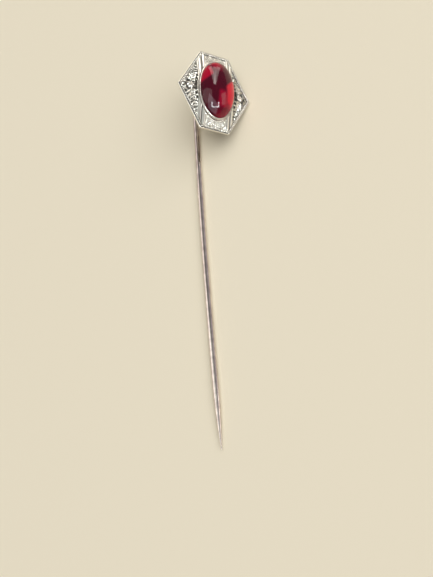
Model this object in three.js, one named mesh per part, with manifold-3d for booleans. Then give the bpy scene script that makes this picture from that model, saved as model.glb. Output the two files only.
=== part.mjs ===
// A stick pin: a hollow hexagonal head with an oval cabochon, on a long pointed stem.
// Millimetres, +Z up. The pin lies as it would on a table: the stem and one corner of
// the head's front plate touch the floor at z = 0, and +Y runs from the point to the head.
import * as THREE from 'three';
import { mergeVertices } from 'three/addons/utils/BufferGeometryUtils.js';
import { ConvexGeometry } from 'three/addons/geometries/ConvexGeometry.js';
import Module from 'manifold-3d';

const wasm = await Module();
wasm.setup();

// ---- driving dimensions, mm ----
const overallLength = 63.5;        // top edge of the head to the point
const headHeight = 13.8;           // flat to flat, along the stem
const headWidth = 13.1;            // corner to corner, across the stem
const headFlat = 5.2;              // length of the top and of the bottom edge
const headStandoff = 6.5;          // rim plane to the stem's axis, at the head's centre
const headPitch = THREE.MathUtils.degToRad(7.5);   // the face tips this far towards the point
const fitGap = 0.012;              // solder film between pieces that touch
const smallestEdge = 0.004;        // edges shorter than this are merged away

const plateEdge = 0.42;            // depth of the front plate's polished edge
const plateThickness = 0.36;       // of the struck field
const hollowMargin = 0.3;          // solid border left behind the field's outer edge
const rimLip = 0.14;               // width of the raised knife rim
const channelWidth = 0.32;         // channel between rim and field, for the beads
const channelDepth = 0.18;
const fieldStart = -0.06;          // height of the field at its outer edge
const fieldTop = 0.5;              // height of the field round the stone
const fieldTopInset = 2.2;         // distance in from the edge where the field levels off

const stoneHalfWidth = 3.0;        // a 10 x 6 mm cabochon
const stoneHalfLength = 5.0;
const stoneGirdle = 0.16;          // short upright band under the dome
const stoneDome = 2.3;
const stoneBase = 0.5;             // height of the stone's flat underside
const bezelWall = 0.22;
const bezelTop = 0.86;
const bezelStepTop = 0.26;         // the thicker lower bezel fills the moat up to here and carries the plate
const bezelRound = 0.07;
const moat = 0.05;                 // dark gap between the bezel and the field
const seatWidth = 0.5;
const seatDepth = 0.45;

const beadRadius = 0.135;
const beadNeck = 0.08;             // wire between two beads
const beadPitch = 0.31;
const beadSides = 6;

const bandCentre = 2.55;           // distance of a band's centre line from the middle of the head
const bandRibs = 2;
const ribWidth = 0.46;
const ribGap = 0.18;
const ribHeight = 0.24;
const bandBaseHeight = 0.08;
const bandClearance = 0.03;        // the struck relief stops this far short of a band

const backGrow = 0.14;             // the back disc stands this far out past the bezel
const backTop = -0.85;             // height of its upper face, closing the bezel from behind
const backThickness = 0.42;
const backRound = 0.12;

const stemRadius = 0.475;
const stemSides = 16;
const bendRadius = 1.8;
const bendSteps = 12;
const tipLength = 9;
const tipRadius = 0.06;
const stemBow = 0.22;              // sideways bow of the hand-straightened wire
const socketRadius = 0.95;
const socketHeight = 1.0;

// ---- derived heights in the head's own frame: rim plane at z = 0, stem side below ----
const frontBack = -plateEdge;
const backFace = backTop - backThickness;
const socketTop = backFace - fitGap;
const fieldEdgeInset = rimLip + channelWidth;

// ---- solids ----
function solid(geometry) {
  const bare = new THREE.BufferGeometry();
  bare.setAttribute('position', geometry.getAttribute('position'));
  if (geometry.index) bare.setIndex(geometry.index);
  const merged = mergeVertices(bare, 1e-4);
  return new wasm.Manifold(new wasm.Mesh({
    numProp: 3,
    vertProperties: Float32Array.from(merged.getAttribute('position').array),
    triVerts: Uint32Array.from(merged.index.array),
  }));
}

function geometryOf(manifold) {
  const mesh = manifold.simplify(smallestEdge).getMesh();
  const geometry = new THREE.BufferGeometry();
  geometry.setAttribute('position', new THREE.BufferAttribute(Float32Array.from(mesh.vertProperties), 3));
  geometry.setIndex(new THREE.BufferAttribute(Uint32Array.from(mesh.triVerts), 1));
  return geometry;
}

function joined(parts) {
  return parts.reduce((sum, next) => sum.add(next));
}

// ---- the hexagon and its insets ----
const sideLength = Math.hypot(headWidth / 2 - headFlat / 2, headHeight / 2);
const sideNormal = new THREE.Vector2(headHeight / 2, headWidth / 2 - headFlat / 2).divideScalar(sideLength);
const sideDistance = sideNormal.x * headWidth / 2;

function hexagon(inset) {
  const y = headHeight / 2 - inset;
  const reach = sideDistance - inset;
  const x = (reach - sideNormal.y * y) / sideNormal.x;
  const corner = reach / sideNormal.x;
  const corners = [[x, y], [-x, y], [-corner, 0], [-x, -y], [x, -y], [corner, 0]];
  return corners.map(([u, v]) => new THREE.Vector2(u, v));
}

function hexInset(x, y) {
  const side = sideDistance - (sideNormal.x * Math.abs(x) + sideNormal.y * Math.abs(y));
  return Math.min(headHeight / 2 - Math.abs(y), side);
}

const fieldSlope = (fieldTop - fieldStart) / (fieldTopInset - fieldEdgeInset);

function fieldHeight(x, y) {
  return Math.min(fieldTop, fieldStart + fieldSlope * (hexInset(x, y) - fieldEdgeInset));
}

function hexPrism(inset, bottom, top) {
  const shape = new THREE.Shape(hexagon(inset));
  const geometry = new THREE.ExtrudeGeometry(shape, { depth: top - bottom, bevelEnabled: false });
  return solid(geometry.translate(0, 0, bottom));
}

function hexRing(outer, inner, bottom, top) {
  const shape = new THREE.Shape(hexagon(outer));
  shape.holes.push(new THREE.Path(hexagon(inner)));
  const geometry = new THREE.ExtrudeGeometry(shape, { depth: top - bottom, bevelEnabled: false });
  return solid(geometry.translate(0, 0, bottom));
}

// the sloping field as a convex block, raised by lift
function fieldBlock(lift) {
  const low = hexagon(fieldEdgeInset).map((p) => new THREE.Vector3(p.x, p.y, frontBack - 1));
  const edge = hexagon(fieldEdgeInset).map((p) => new THREE.Vector3(p.x, p.y, fieldStart + lift));
  const top = hexagon(fieldTopInset).map((p) => new THREE.Vector3(p.x, p.y, fieldTop + lift));
  return solid(new ConvexGeometry([...low, ...edge, ...top]));
}

function ovalPoints(a, b, segments = 48) {
  const points = [];
  for (let i = 0; i < segments; i += 1) {
    const t = (i / segments) * Math.PI * 2;
    points.push(new THREE.Vector2(a * Math.cos(t), b * Math.sin(t)));
  }
  return points;
}

function ovalPrism(grow, bottom, top) {
  const shape = new THREE.Shape(ovalPoints(stoneHalfWidth + grow, stoneHalfLength + grow));
  const geometry = new THREE.ExtrudeGeometry(shape, { depth: top - bottom, bevelEnabled: false });
  return solid(geometry.translate(0, 0, bottom));
}

// ---- struck relief on the field: leaves and petals as low pointed mounds ----
function mound(x, y, length, width, height, angle) {
  const geometry = new THREE.SphereGeometry(1, 8, 4);
  geometry.rotateX(Math.PI / 2);
  geometry.scale(length / 2, width / 2, height);
  geometry.rotateZ(angle);
  geometry.translate(x, y, fieldHeight(x, y) - 0.03);
  return solid(geometry);
}

const rosetteX = 4.55;
const rosetteReach = 0.36;
const petalCount = 6;
const heart = { length: 0.34, width: 0.34, height: 0.3 };
const petal = { length: 0.5, width: 0.32, height: 0.2 };

// one quarter of the leaves, mirrored into the others: place, size and lean from the +X axis
const wingLeaves = [
  { x: 4.75, y: 1.05, length: 0.85, width: 0.4, height: 0.24, lean: 0.5 },
  { x: 4.5, y: 1.68, length: 0.75, width: 0.38, height: 0.22, lean: 0.6 },
  { x: 4.22, y: 2.3, length: 0.68, width: 0.34, height: 0.2, lean: 0.6 },
  { x: 3.94, y: 2.92, length: 0.55, width: 0.3, height: 0.18, lean: 0.7 },
  { x: 3.88, y: 1.05, length: 0.55, width: 0.26, height: 0.2, lean: 3.0 },
  { x: 3.76, y: 1.7, length: 0.55, width: 0.26, height: 0.2, lean: 3.0 },
  { x: 3.58, y: 2.42, length: 0.6, width: 0.3, height: 0.2, lean: 3.0 },
  { x: 3.44, y: 3.05, length: 0.5, width: 0.28, height: 0.18, lean: 2.9 },
  { x: 3.36, y: 3.85, length: 0.75, width: 0.26, height: 0.16, lean: 1.85 },
];
const panelLeaves = [
  { x: 0.52, y: 5.8, length: 0.75, width: 0.3, height: 0.2, lean: 1.0 },
  { x: 1.12, y: 5.62, length: 0.8, width: 0.3, height: 0.2, lean: 0.5 },
  { x: 1.5, y: 5.1, length: 0.6, width: 0.26, height: 0.16, lean: 1.4 },
];
const middleLeaf = { y: 5.85, length: 0.7, width: 0.34, height: 0.2 };

function mirroredLeaves(leaves, side, up) {
  const placed = (leaf) => {
    const lean = side * up * leaf.lean;
    return mound(side * leaf.x, up * leaf.y, leaf.length, leaf.width, leaf.height, lean);
  };
  return leaves.map(placed);
}

function wingRelief(side) {
  const mounds = [mound(side * rosetteX, 0, heart.length, heart.width, heart.height, 0)];
  for (let i = 0; i < petalCount; i += 1) {
    const a = ((i + 0.5) / petalCount) * Math.PI * 2;
    const x = side * (rosetteX + rosetteReach * Math.cos(a));
    mounds.push(mound(x, rosetteReach * Math.sin(a), petal.length, petal.width, petal.height, side * a));
  }
  return [...mounds, ...mirroredLeaves(wingLeaves, side, 1), ...mirroredLeaves(wingLeaves, side, -1)];
}

function panelRelief(up) {
  const { y, length, width, height } = middleLeaf;
  const middle = mound(0, up * y, length, width, height, Math.PI / 2);
  return [middle, ...mirroredLeaves(panelLeaves, 1, up), ...mirroredLeaves(panelLeaves, -1, up)];
}

// ---- pierced openings through the field ----
function piercing(x, y, length, width, angle) {
  const geometry = new THREE.CylinderGeometry(1, 1, 3, 8);
  geometry.rotateX(Math.PI / 2);
  geometry.scale(length / 2, width / 2, 1);
  geometry.rotateZ(angle);
  geometry.translate(x, y, 0);
  return solid(geometry);
}

// a row of small openings follows the bezel, with more round each rosette and between the leaves
const middleOpenings = [
  { x: 3.7, length: 0.42, width: 0.28, lean: Math.PI / 2 },
  { x: 5.3, length: 0.36, width: 0.28, lean: 0 },
];
const quarterOpenings = [
  { x: 3.68, y: 0.68, length: 0.42, width: 0.26, lean: 1.7 },
  { x: 3.6, y: 1.36, length: 0.42, width: 0.26, lean: 1.8 },
  { x: 3.46, y: 2.02, length: 0.4, width: 0.24, lean: 1.9 },
  { x: 4.95, y: 0.62, length: 0.38, width: 0.24, lean: 2.5 },
  { x: 4.02, y: 0.5, length: 0.3, width: 0.2, lean: 2.2 },
  { x: 4.2, y: 2.42, length: 0.3, width: 0.2, lean: 2.3 },
];

function piercings() {
  const holes = [];
  for (const side of [-1, 1]) {
    for (const hole of middleOpenings) {
      holes.push(piercing(side * hole.x, 0, hole.length, hole.width, hole.lean));
    }
    for (const up of [-1, 1]) {
      for (const hole of quarterOpenings) {
        holes.push(piercing(side * hole.x, up * hole.y, hole.length, hole.width, side * up * hole.lean));
      }
    }
  }
  return holes;
}

function frontPlate() {
  const rim = hexRing(0, fieldEdgeInset, frontBack, 0);
  const channel = hexRing(rimLip, fieldEdgeInset + 0.02, -channelDepth, 1);
  const floor = hexPrism(rimLip, frontBack, -channelDepth);
  const bands = bandStrip(-1, bandCentre, bandWidth + 2 * bandClearance, 1)
    .add(bandStrip(1, bandCentre, bandWidth + 2 * bandClearance, 1));
  const ornament = [...wingRelief(-1), ...wingRelief(1), ...panelRelief(-1), ...panelRelief(1)];
  const relief = joined(ornament).subtract(bands);
  const body = rim.subtract(channel).add(floor).add(fieldBlock(0)).add(relief);
  const hollow = fieldBlock(-plateThickness).intersect(hexPrism(fieldEdgeInset + hollowMargin, -2, 2));
  const below = hexPrism(0, -4, frontBack);
  const opening = ovalPrism(bezelWall + moat, -3, 3);
  return body.subtract(hollow).subtract(below).subtract(opening).subtract(joined(piercings()));
}

// ---- beads rolled on a wire, in six straight runs that meet in a bead at each corner ----
function beadRun(from, to) {
  const length = from.distanceTo(to);
  const count = Math.round(length / beadPitch);
  const profile = [new THREE.Vector2(0, 0)];
  for (let k = 0; k < count; k += 1) {
    profile.push(new THREE.Vector2(beadRadius, (length * k) / count));
    profile.push(new THREE.Vector2(beadNeck, (length * (k + 0.5)) / count));
  }
  profile.push(new THREE.Vector2(beadRadius, length));
  profile.push(new THREE.Vector2(0, length));
  const geometry = new THREE.LatheGeometry(profile, beadSides);
  geometry.rotateZ(to.clone().sub(from).angle() - Math.PI / 2);
  return solid(geometry.translate(from.x, from.y, beadRadius - channelDepth + fitGap));
}

function milgrainBorder() {
  const corners = hexagon(rimLip + channelWidth / 2);
  return joined(corners.map((from, i) => beadRun(from, corners[(i + 1) % corners.length])));
}

// ---- reeded bands: straight strips down both sides, each broken in two by the stone ----
const bandWidth = bandRibs * ribWidth + (bandRibs - 1) * ribGap;

function bandStrip(side, centre, width, lift) {
  const geometry = new THREE.BoxGeometry(width, headHeight, 4);
  return solid(geometry.translate(side * centre, 0, 0)).intersect(fieldBlock(lift));
}

function band(side, up) {
  const parts = [bandStrip(side, bandCentre, bandWidth, bandBaseHeight)];
  for (let i = 0; i < bandRibs; i += 1) {
    const offset = (i - (bandRibs - 1) / 2) * (ribWidth + ribGap);
    parts.push(bandStrip(side, bandCentre + offset, ribWidth, ribHeight));
  }
  const half = new THREE.BoxGeometry(headWidth, headHeight, 6).translate(0, (up * headHeight) / 2, 0);
  const above = hexPrism(fieldEdgeInset + bandClearance, fieldStart, 3).intersect(solid(half));
  const clearOfField = joined(parts).intersect(above).subtract(fieldBlock(fitGap));
  return clearOfField.subtract(ovalPrism(bezelWall + moat, -3, 3));
}

// ---- stone and setting ----
function bezel() {
  const grow = bezelWall - bezelRound;
  const shape = new THREE.Shape(ovalPoints(stoneHalfWidth + grow, stoneHalfLength + grow));
  const inner = 2 * fitGap + bezelRound;
  shape.holes.push(new THREE.Path(ovalPoints(stoneHalfWidth + inner, stoneHalfLength + inner)));
  const bottom = backTop + fitGap;
  const geometry = new THREE.ExtrudeGeometry(shape, {
    depth: bezelTop - bottom - 2 * bezelRound,
    bevelEnabled: true,
    bevelThickness: bezelRound,
    bevelSize: bezelRound,
    bevelSegments: 3,
  });
  const wideStep = ovalPrism(bezelWall + moat - fitGap, bottom, bezelStepTop);
  const step = wideStep.subtract(ovalPrism(bezelWall / 2, -3, 3));
  return solid(geometry.translate(0, 0, bottom + bezelRound)).add(step);
}

function stoneSeat() {
  const top = stoneBase - fitGap;
  return ovalPrism(0, top - seatDepth, top).subtract(ovalPrism(-seatWidth, -3, 3));
}

function cabochon() {
  const profile = [
    new THREE.Vector2(0, stoneBase),
    new THREE.Vector2(0.985, stoneBase),
    new THREE.Vector2(1, stoneBase + 0.04),
  ];
  const steps = 14;
  for (let i = 0; i < steps; i += 1) {
    const t = (i / steps) * (Math.PI / 2);
    profile.push(new THREE.Vector2(Math.cos(t), stoneBase + stoneGirdle + stoneDome * Math.sin(t)));
  }
  profile.push(new THREE.Vector2(0, stoneBase + stoneGirdle + stoneDome));
  const geometry = new THREE.LatheGeometry(profile, 48);
  geometry.rotateX(Math.PI / 2);
  return solid(geometry.scale(stoneHalfWidth, stoneHalfLength, 1));
}

// ---- back of the head ----
function backDisc() {
  const reach = bezelWall + backGrow - backRound;
  const shape = new THREE.Shape(ovalPoints(stoneHalfWidth + reach, stoneHalfLength + reach, 32));
  const geometry = new THREE.ExtrudeGeometry(shape, {
    depth: backThickness - 2 * backRound,
    bevelEnabled: true,
    bevelThickness: backRound,
    bevelSize: backRound,
    bevelSegments: 2,
  });
  return solid(geometry.translate(0, 0, backFace + backRound));
}

function stemSocket() {
  const bottom = socketTop - socketHeight;
  const bore = stemRadius + fitGap;
  const profile = [
    [bore, socketTop],
    [bore, bottom],
    [bore + 0.14, bottom],
    [bore + 0.2, bottom + 0.35],
    [socketRadius - 0.15, socketTop - 0.25],
    [socketRadius, socketTop - 0.08],
    [socketRadius, socketTop],
    [bore, socketTop],
  ].map(([r, z]) => new THREE.Vector2(r, z));
  const geometry = new THREE.LatheGeometry(profile, 24);
  return solid(geometry.rotateX(Math.PI / 2));
}

// ---- stem, in the pin's frame: its axis along Y at x = z = 0, the head standing up over y = 0 ----
const headNormal = new THREE.Vector3(0, -Math.sin(headPitch), Math.cos(headPitch));
const headCentre = new THREE.Vector3(0, 0, headStandoff);
const pointY = (headHeight / 2) * Math.cos(headPitch) - overallLength;

// the roll that brings the front plate's corner down to the floor the stem lies on
const restCorner = new THREE.Vector2(headWidth / 2, headStandoff + frontBack * headNormal.z);
const restRoll = restCorner.angle() + Math.asin(stemRadius / restCorner.length());

const turn = Math.PI / 2 + headPitch;
const elbowY = headStandoff * Math.tan(headPitch);
const straightEnd = elbowY - bendRadius * Math.tan(turn / 2);
const straightLength = straightEnd - pointY;
const bendLength = bendRadius * turn;
const bendTopY = straightEnd + bendRadius * Math.sin(turn);
const bendTop = new THREE.Vector3(0, bendTopY, bendRadius * (1 - Math.cos(turn)));
const legTop = headCentre.clone().addScaledVector(headNormal, socketTop);
const stemLength = straightLength + bendLength + legTop.distanceTo(bendTop);

// a point of the stem from its distance along the wire and its offset across it
function onStem(across, along, out) {
  if (along <= straightLength) {
    const t = along / straightLength;
    const bow = -4 * stemBow * t * (1 - t);
    const x = across + bow * Math.cos(restRoll);
    return new THREE.Vector3(x, pointY + along, out + bow * Math.sin(restRoll));
  }
  const a = Math.min((along - straightLength) / bendRadius, turn);
  const beyond = Math.max(0, along - straightLength - bendLength);
  const y = straightEnd + (bendRadius - out) * Math.sin(a);
  const z = bendRadius - (bendRadius - out) * Math.cos(a);
  return new THREE.Vector3(across, y, z).addScaledVector(headNormal, beyond);
}

function stem() {
  const profile = [
    new THREE.Vector2(0, 0),
    new THREE.Vector2(tipRadius * 0.7, 0.03),
    new THREE.Vector2(tipRadius, 0.1),
  ];
  const taperSteps = 6;
  for (let i = 1; i <= taperSteps; i += 1) {
    const t = i / taperSteps;
    const radius = tipRadius + (stemRadius - tipRadius) * Math.sin((t * Math.PI) / 2);
    profile.push(new THREE.Vector2(radius, 0.1 + tipLength * t));
  }
  const shaftSteps = 10;
  const shaftStart = 0.1 + tipLength;
  for (let i = 1; i <= shaftSteps; i += 1) {
    const along = shaftStart + ((straightLength - shaftStart) * i) / shaftSteps;
    profile.push(new THREE.Vector2(stemRadius, along));
  }
  for (let i = 1; i <= bendSteps; i += 1) {
    profile.push(new THREE.Vector2(stemRadius, straightLength + (bendLength * i) / bendSteps));
  }
  profile.push(new THREE.Vector2(stemRadius, stemLength));
  profile.push(new THREE.Vector2(0, stemLength));
  const geometry = new THREE.LatheGeometry(profile, stemSides);
  const position = geometry.getAttribute('position');
  for (let i = 0; i < position.count; i += 1) {
    const p = onStem(position.getX(i), position.getY(i), position.getZ(i));
    position.setXYZ(i, p.x, p.y, p.z);
  }
  return solid(geometry);
}

// ---- materials ----
const metal = (color, roughness) => ({ color, roughness, metalness: 1 });
const finishes = {
  front_plate: metal(0xbfbeb9, 0.34),
  milgrain_border: metal(0xd8d6d0, 0.24),
  band_upper_left: metal(0xcfcdc8, 0.26),
  band_upper_right: metal(0xcfcdc8, 0.26),
  band_lower_left: metal(0xcfcdc8, 0.26),
  band_lower_right: metal(0xcfcdc8, 0.26),
  bezel: metal(0xdcd3c9, 0.2),
  stone_seat: metal(0xa8a6a1, 0.4),
  cabochon: { color: 0x6d0712, roughness: 0.06, metalness: 0 },
  back_disc: metal(0xc9c7c2, 0.28),
  stem_socket: metal(0xb8b6b1, 0.34),
  stem: metal(0xbdbab6, 0.22),
};

// ---- assembly: the head's pieces in the head's frame, the head and the stem in the pin's ----
function piece(name, manifold) {
  const geometry = geometryOf(manifold);
  geometry.computeVertexNormals();
  const mesh = new THREE.Mesh(geometry, new THREE.MeshStandardMaterial(finishes[name]));
  mesh.name = name;
  return mesh;
}

const head = new THREE.Group();
head.name = 'head';
head.position.copy(headCentre);
head.rotation.x = headPitch;
head.add(
  piece('front_plate', frontPlate()),
  piece('milgrain_border', milgrainBorder()),
  piece('band_upper_left', band(-1, 1)),
  piece('band_upper_right', band(1, 1)),
  piece('band_lower_left', band(-1, -1)),
  piece('band_lower_right', band(1, -1)),
  piece('bezel', bezel()),
  piece('stone_seat', stoneSeat()),
  piece('cabochon', cabochon()),
  piece('back_disc', backDisc()),
  piece('stem_socket', stemSocket()),
);

const pin = new THREE.Group();
pin.name = 'pin';
pin.rotation.y = restRoll;
pin.add(head, piece('stem', stem()));

const assembly = new THREE.Group();
assembly.name = 'stick_pin';
assembly.add(pin);

// the origin is under the middle of the whole pin, on the floor
const bounds = new THREE.Box3().setFromObject(assembly, true);
const middle = bounds.getCenter(new THREE.Vector3());
pin.position.set(-middle.x, -middle.y, -bounds.min.z);

export default assembly;
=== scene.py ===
import math

import bpy
import bmesh
import numpy as np
from mathutils import Matrix, Vector
from mathutils.geometry import delaunay_2d_cdt


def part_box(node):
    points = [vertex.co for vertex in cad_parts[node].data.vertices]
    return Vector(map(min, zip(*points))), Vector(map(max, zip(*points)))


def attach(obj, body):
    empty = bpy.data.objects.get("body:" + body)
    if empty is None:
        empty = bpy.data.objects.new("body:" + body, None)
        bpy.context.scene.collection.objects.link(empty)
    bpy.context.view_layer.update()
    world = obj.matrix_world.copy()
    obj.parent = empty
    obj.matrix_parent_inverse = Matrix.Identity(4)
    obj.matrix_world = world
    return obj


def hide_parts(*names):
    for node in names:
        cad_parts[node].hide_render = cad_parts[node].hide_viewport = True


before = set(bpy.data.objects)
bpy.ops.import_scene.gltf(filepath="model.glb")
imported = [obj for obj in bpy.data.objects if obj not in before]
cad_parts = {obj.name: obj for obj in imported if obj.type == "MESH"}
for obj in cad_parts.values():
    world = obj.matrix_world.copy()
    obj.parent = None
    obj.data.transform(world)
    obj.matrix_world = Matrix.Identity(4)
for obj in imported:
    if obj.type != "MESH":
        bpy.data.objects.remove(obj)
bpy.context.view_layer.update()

MM = 0.001   # one millimetre in the scene's metres

# ---- driving dimensions in millimetres: the CAD's, with the ribs 0.04 wider ----
HEAD_HEIGHT = 13.8
HEAD_WIDTH = 13.1
HEAD_FLAT = 5.2
STANDOFF = 6.5
PITCH = math.radians(7.5)
OVERALL_LENGTH = 63.5
PLATE_EDGE = 0.42
PLATE_THICKNESS = 0.36
HOLLOW_MARGIN = 0.3
RIM_LIP = 0.14
CHANNEL_WIDTH = 0.32
CHANNEL_DEPTH = 0.18
FIELD_START = -0.06
FIELD_TOP = 0.5
FIELD_TOP_INSET = 2.2
FIELD_EDGE = RIM_LIP + CHANNEL_WIDTH
STONE_A = 3.0   # half the stone's width
STONE_B = 5.0   # half its length
STONE_BASE = 0.5
STONE_GIRDLE = 0.16
STONE_DOME = 2.3
BEZEL_WALL = 0.22
BEZEL_TOP = 0.86
BEZEL_STEP_TOP = 0.26
MOAT = 0.05
HOLE_A = STONE_A + BEZEL_WALL + MOAT   # the hole in the front plate that the setting stands in
HOLE_B = STONE_B + BEZEL_WALL + MOAT
BEAD_RADIUS = 0.135
BEAD_PITCH = 0.31
BEAD_NECK = 0.08
BAND_CENTRE = 2.55
BAND_WIDTH = 1.1
RIB_PITCH = 0.64
RIB_WIDTH = 0.5
RIB_HEIGHT = 0.24
BAND_BASE = 0.08
BACK_GROW = 0.14
BACK_TOP = -0.85
BACK_THICKNESS = 0.42
STEM_RADIUS = 0.475
BEND_RADIUS = 1.8
TIP_LENGTH = 9.0
TIP_RADIUS = 0.06
TIP_ROUNDING = 0.1
STEM_BOW = 0.22
SOCKET_RADIUS = 0.95
SOCKET_HEIGHT = 1.0
SEAT_WIDTH = 0.5
SEAT_DEPTH = 0.45
GAP = 0.012   # solder film between pieces that touch

# ---- how finely the pieces are cut, millimetres or counts ----
FIELD_STEP = 0.04
OVAL_STEPS = 160
DOME_RINGS = 40
SIDE_STEPS = 30
CORNER_CUT = 0.11
CORNER_STEPS = 4
BAND_COLUMNS = 40
BAND_ROWS = 44
OPENING_STEPS = 18
BEAD_WIRE_SIDES = 8
SOCKET_SIDES = 48
SOCKET_CURVE_STEPS = 8
STEM_SIDES = 40
TAPER_STEPS = 24
SHANK_STEPS = 60
BEND_STEPS = 24


# ---- frames: the head's has x across the face, y up it and z out of it, with the rim at zero ----
def rest_roll():
    """How far the pin rolls about its stem until a corner of the head touches the floor."""
    corner_x = HEAD_WIDTH / 2
    corner_z = STANDOFF - PLATE_EDGE * math.cos(PITCH)
    return math.atan2(corner_z, corner_x) + math.asin(STEM_RADIUS / math.hypot(corner_x, corner_z))


REST_ROLL = rest_roll()
PIN_TURN = Matrix.Rotation(REST_ROLL, 3, "Y")
HEAD_TURN = PIN_TURN @ Matrix.Rotation(PITCH, 3, "X")


def head_centre():
    """The middle of the head's rim plane, found from the back disc of the CAD model."""
    low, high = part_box("back_disc")
    disc_height = BACK_TOP - BACK_THICKNESS / 2
    return (low + high) / 2 - HEAD_TURN @ Vector((0, 0, disc_height * MM))


HEAD_CENTRE = head_centre()
HEAD = Matrix.Translation(HEAD_CENTRE) @ HEAD_TURN.to_4x4()
PIN = Matrix.Translation(HEAD_CENTRE - PIN_TURN @ Vector((0, 0, STANDOFF * MM))) @ PIN_TURN.to_4x4()


# ---- mesh helpers ----
def make_piece(name, points, faces, place, replaced, material, sharp=40):
    """A mesh piece from points in millimetres in the frame that place describes."""
    data = bpy.data.meshes.new(name)
    data.from_pydata((np.asarray(points, float) * MM).tolist(), [], faces)
    data.transform(place)
    data.validate()
    tidy = bmesh.new()
    tidy.from_mesh(data)
    bmesh.ops.remove_doubles(tidy, verts=tidy.verts, dist=1e-7)
    bmesh.ops.recalc_face_normals(tidy, faces=tidy.faces)
    tidy.to_mesh(data)
    tidy.free()
    data.shade_smooth()
    data.set_sharp_from_angle(angle=math.radians(sharp))
    data.materials.append(material)
    piece = bpy.data.objects.new(name, data)
    bpy.context.scene.collection.objects.link(piece)
    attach(piece, "root")
    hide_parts(*replaced)
    return piece


def loft(rings, closed=False, caps=False):
    """Faces between rings of equal length; closed joins the last ring to the first."""
    count = len(rings[0])
    points = [p for ring in rings for p in ring]
    faces = []
    spans = len(rings) if closed else len(rings) - 1
    for i in range(spans):
        a = i * count
        b = ((i + 1) % len(rings)) * count
        for k in range(count):
            n = (k + 1) % count
            faces.append((a + k, a + n, b + n, b + k))
    if caps:
        faces.append(tuple(range(count - 1, -1, -1)))
        last = (len(rings) - 1) * count
        faces.append(tuple(range(last, last + count)))
    return points, faces


def oval(grow, height):
    """The stone's outline grown outwards, at one height."""
    ring = []
    for i in range(OVAL_STEPS):
        t = i / OVAL_STEPS * math.tau
        ring.append(((STONE_A + grow) * math.cos(t), (STONE_B + grow) * math.sin(t), height))
    return ring


# ---- the hexagon ----
SIDE_RUN = HEAD_WIDTH / 2 - HEAD_FLAT / 2
SIDE_LENGTH = math.hypot(SIDE_RUN, HEAD_HEIGHT / 2)
NORMAL_X = HEAD_HEIGHT / 2 / SIDE_LENGTH
NORMAL_Y = SIDE_RUN / SIDE_LENGTH
SIDE_DISTANCE = NORMAL_X * HEAD_WIDTH / 2


def hexagon(inset):
    """The head's six corners, moved in from the edge."""
    y = HEAD_HEIGHT / 2 - inset
    reach = SIDE_DISTANCE - inset
    x = (reach - NORMAL_Y * y) / NORMAL_X
    corner = reach / NORMAL_X
    return [Vector(p) for p in ((x, y), (-x, y), (-corner, 0), (-x, -y), (x, -y), (corner, 0))]


def hex_inset(x, y):
    """How far in from the head's edge each point lies."""
    side = SIDE_DISTANCE - (NORMAL_X * np.abs(x) + NORMAL_Y * np.abs(y))
    return np.minimum(HEAD_HEIGHT / 2 - np.abs(y), side)


def hex_ring(inset, height):
    """The hexagon with softened corners, as many points at every inset."""
    corners = hexagon(inset)
    ring = []
    for i, corner in enumerate(corners):
        before = corners[i - 1]
        after = corners[(i + 1) % 6]
        start = corner + (before - corner).normalized() * CORNER_CUT
        end = corner + (after - corner).normalized() * CORNER_CUT
        for k in range(CORNER_STEPS + 1):
            t = k / CORNER_STEPS
            p = start * (1 - t) ** 2 + corner * 2 * t * (1 - t) + end * t ** 2
            ring.append((p.x, p.y, height))
        stop = after + (corner - after).normalized() * CORNER_CUT
        for k in range(1, SIDE_STEPS):
            p = end.lerp(stop, k / SIDE_STEPS)
            ring.append((p.x, p.y, height))
    return ring


def field_height(x, y):
    """The struck field without its ornament: it climbs from the rim and levels off."""
    slope = (FIELD_TOP - FIELD_START) / (FIELD_TOP_INSET - FIELD_EDGE)
    return np.minimum(FIELD_TOP, FIELD_START + slope * (hex_inset(x, y) - FIELD_EDGE))


# ---- the struck relief ----
VEIN_DEPTH = 0.42
VEIN_WIDTH = 0.028


def curve_points(control, steps=14):
    """Points on the Bezier curve with these control points."""
    out = []
    for i in range(steps + 1):
        t = i / steps
        points = [Vector(p) for p in control]
        while len(points) > 1:
            points = [a.lerp(b, t) for a, b in zip(points, points[1:])]
        out.append((points[0].x, points[0].y))
    return out


def along_path(x, y, path):
    """Distance of each point from the path, and where along it the nearest point lies."""
    best = np.full(x.shape, 1e9)
    where = np.zeros(x.shape)
    spans = len(path) - 1
    for i in range(spans):
        (ax, ay), (bx, by) = path[i], path[i + 1]
        dx, dy = bx - ax, by - ay
        t = np.clip(((x - ax) * dx + (y - ay) * dy) / (dx * dx + dy * dy), 0, 1)
        d = np.hypot(x - ax - t * dx, y - ay - t * dy)
        nearer = d < best
        best = np.where(nearer, d, best)
        where = np.where(nearer, (i + t) / spans, where)
    return best, where


def leaf(x, y, control, width, height):
    """A pointed leaf with a rounded back and a cut vein."""
    d, s = along_path(x, y, curve_points(control, 6))
    half = width / 2 * np.maximum(np.sin(np.pi * np.clip(s * 0.94 + 0.04, 0, 1)), 0.05) ** 0.75
    body = height * np.sqrt(np.clip(1 - (d / half) ** 2, 0, 1))
    vein = VEIN_DEPTH * height * np.exp(-((d / VEIN_WIDTH) ** 2))
    return np.where(d < half, body - vein, 0)


def scroll(x, y, control, width, height):
    """A round-backed tendril that thins towards its end."""
    d, s = along_path(x, y, curve_points(control, 24))
    half = width / 2 * (1 - 0.45 * s)
    return height * np.sqrt(np.clip(1 - (d / half) ** 2, 0, 1))


def boss(x, y, centre, radius, height):
    """A small round knob."""
    d = np.hypot(x - centre[0], y - centre[1])
    return height * np.sqrt(np.clip(1 - (d / radius) ** 2, 0, 1))


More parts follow.
